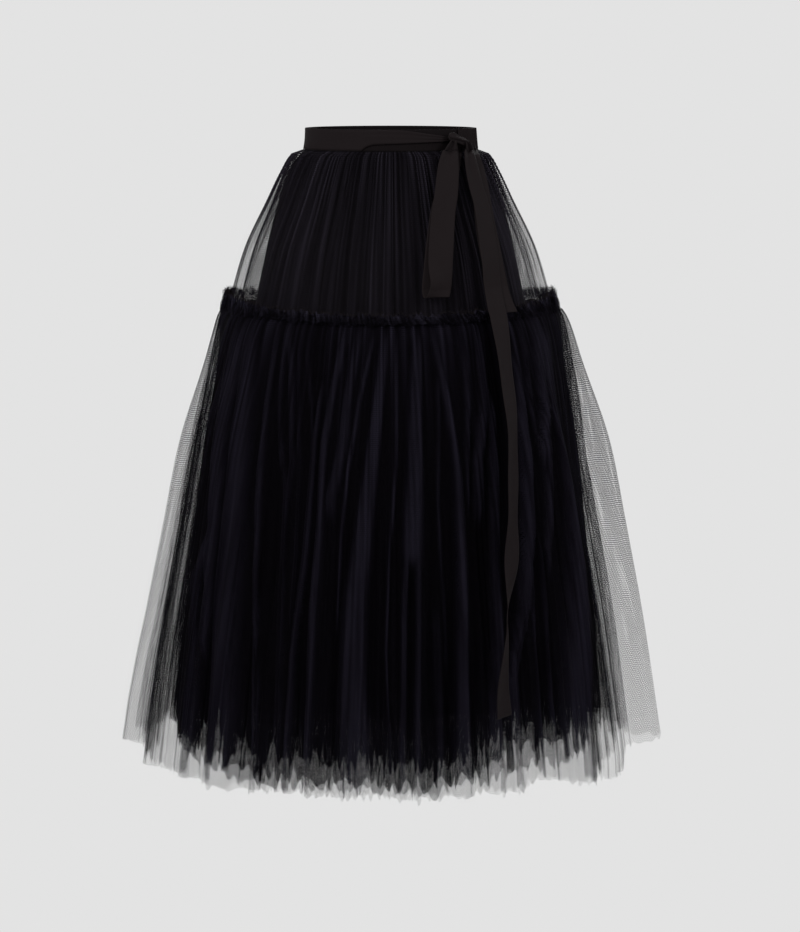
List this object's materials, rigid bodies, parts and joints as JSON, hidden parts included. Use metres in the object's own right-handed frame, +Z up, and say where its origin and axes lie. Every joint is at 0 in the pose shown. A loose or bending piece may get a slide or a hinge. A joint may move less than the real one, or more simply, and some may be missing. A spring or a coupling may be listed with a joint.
{
  "type": "gathered net midi skirt with ribbon sash",
  "caption": "Full midi skirt of gathered net over a plain lining, with a fitted waistband, a ruffled hip seam and a ribbon sash tied in a half bow.",
  "frame": {"origin": "middle of the waistband's opening, at half the band's height, where the wearer's waist holds the skirt", "axes": "+Z up, the front faces -Y, +X towards the wearer's left, where the sash is tied"},
  "size_m": [0.7867, 0.6598, 0.891],
  "materials": {
    "waistband": "matte grosgrain",
    "sash": "matte ribbon",
    "lining": "matte woven",
    "net": "soft hexagonal net"
  },
  "bodies": {
    "root": {"waistband_front": "waistband", "waistband_back": "waistband", "sash_band": "sash", "sash_knot": "sash", "sash_loop": "sash", "sash_tail_long": "sash", "sash_tail_short": "sash", "lining_top_front": "lining", "lining_top_back": "lining", "lining_skirt_front": "lining", "lining_skirt_back": "lining", "yoke_net_front": "net", "yoke_net_back": "net", "heading_front": "net", "heading_back": "net", "tier_net_outer_front": "net", "tier_net_outer_back": "net", "tier_net_inner_front": "net", "tier_net_inner_back": "net"}
  },
  "joints": []
}
